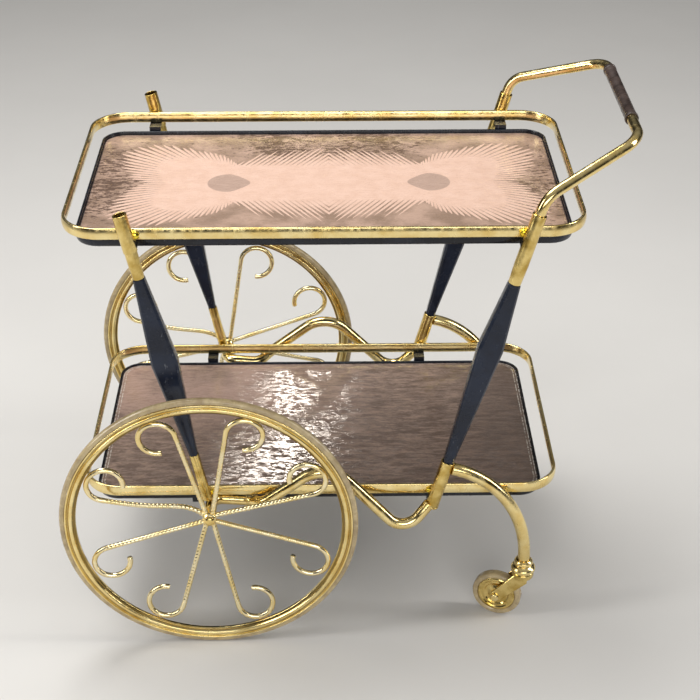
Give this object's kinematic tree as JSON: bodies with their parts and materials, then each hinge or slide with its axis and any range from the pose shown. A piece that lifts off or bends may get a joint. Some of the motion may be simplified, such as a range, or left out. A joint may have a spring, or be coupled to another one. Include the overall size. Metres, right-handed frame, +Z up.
{
  "type": "serving trolley",
  "caption": "Serving trolley with black trays in brass gallery rails on splayed legs, large scroll-spoked wheels, swivel casters and a push handle.",
  "frame": {"origin": "on the floor, at the middle of the trolley's length and width", "axes": "+X to the push handle, +Y to the trolley's right side as the person pushing it sees it, +Z up"},
  "size_m": [0.76, 0.5066, 0.715],
  "materials": {
    "brass": "polished, lightly aged",
    "black_lacquer": "black high-gloss lacquer",
    "burst_panel": "glossy decorative laminate with a cream ray pattern over mottled taupe",
    "mottled_panel": "glossy mottled brown-grey laminate",
    "tyre_rubber": "pale grey rubber, matt",
    "grip_sleeve": "dark brown-grey, smooth and glossy"
  },
  "bodies": {
    "frame": {"top_rail": "brass", "top_tray_pan": "black_lacquer", "top_tray_panel": "burst_panel", "top_bearer_wheel_end": "black_lacquer", "top_bearer_handle_end": "black_lacquer", "bottom_rail": "brass", "bottom_tray_pan": "black_lacquer", "bottom_tray_panel": "mottled_panel", "bottom_bearer_wheel_end": "black_lacquer", "bottom_bearer_handle_end": "black_lacquer", "left_wheel_leg_lower_tube": "brass", "left_wheel_leg_spindle": "black_lacquer", "left_wheel_leg_upper_tube": "brass", "left_wheel_leg_sleeve": "brass", "left_wheel_leg_tab": "brass", "left_wheel_leg_plug": "black_lacquer", "left_handle_leg_lower_tube": "brass", "left_handle_leg_spindle": "black_lacquer", "left_handle_leg_socket": "brass", "left_handle_leg_end_cap": "brass", "left_s_bar": "brass", "left_stub_axle": "brass", "left_axle_cap_nut": "brass", "left_caster_arm": "brass", "left_arm_tab": "brass", "left_caster_socket": "brass", "right_wheel_leg_lower_tube": "brass", "right_wheel_leg_spindle": "black_lacquer", "right_wheel_leg_upper_tube": "brass", "right_wheel_leg_sleeve": "brass", "right_wheel_leg_tab": "brass", "right_wheel_leg_plug": "black_lacquer", "right_handle_leg_lower_tube": "brass", "right_handle_leg_spindle": "black_lacquer", "right_handle_leg_socket": "brass", "right_handle_leg_end_cap": "brass", "right_s_bar": "brass", "right_stub_axle": "brass", "right_axle_cap_nut": "brass", "right_caster_arm": "brass", "right_arm_tab": "brass", "right_caster_socket": "brass", "handle": "brass", "handle_grip": "grip_sleeve"},
    "left_wheel": {"left_wheel_tyre": "tyre_rubber", "left_wheel_rim": "brass", "left_wheel_spokes": "brass"},
    "left_caster": {"left_caster_fork": "brass", "left_caster_axle": "brass"},
    "left_caster_wheel": {"left_caster_disc": "brass", "left_caster_tyre": "tyre_rubber"},
    "right_wheel": {"right_wheel_tyre": "tyre_rubber", "right_wheel_rim": "brass", "right_wheel_spokes": "brass"},
    "right_caster": {"right_caster_fork": "brass", "right_caster_axle": "brass"},
    "right_caster_wheel": {"right_caster_disc": "brass", "right_caster_tyre": "tyre_rubber"}
  },
  "joints": [
    {"name": "left_wheel_spin", "type": "hinge", "parent": "frame", "child": "left_wheel", "pos_m": [-0.18, -0.232, 0.2], "axis": [0, 1, 0], "continuous": true},
    {"name": "left_caster_swivel", "type": "hinge", "parent": "frame", "child": "left_caster", "pos_m": [0.2525, -0.204, 0.084], "axis": [0, 0, 1], "continuous": true},
    {"name": "left_caster_roll", "type": "hinge", "parent": "left_caster", "child": "left_caster_wheel", "pos_m": [0.21961, -0.19203, 0.035], "axis": [0.342, 0.9397, 0], "continuous": true},
    {"name": "right_wheel_spin", "type": "hinge", "parent": "frame", "child": "right_wheel", "pos_m": [-0.18, 0.232, 0.2], "axis": [0, 1, 0], "continuous": true},
    {"name": "right_caster_swivel", "type": "hinge", "parent": "frame", "child": "right_caster", "pos_m": [0.2525, 0.204, 0.084], "axis": [0, 0, 1], "continuous": true},
    {"name": "right_caster_roll", "type": "hinge", "parent": "right_caster", "child": "right_caster_wheel", "pos_m": [0.21961, 0.19203, 0.035], "axis": [-0.342, 0.9397, 0], "continuous": true}
  ]
}
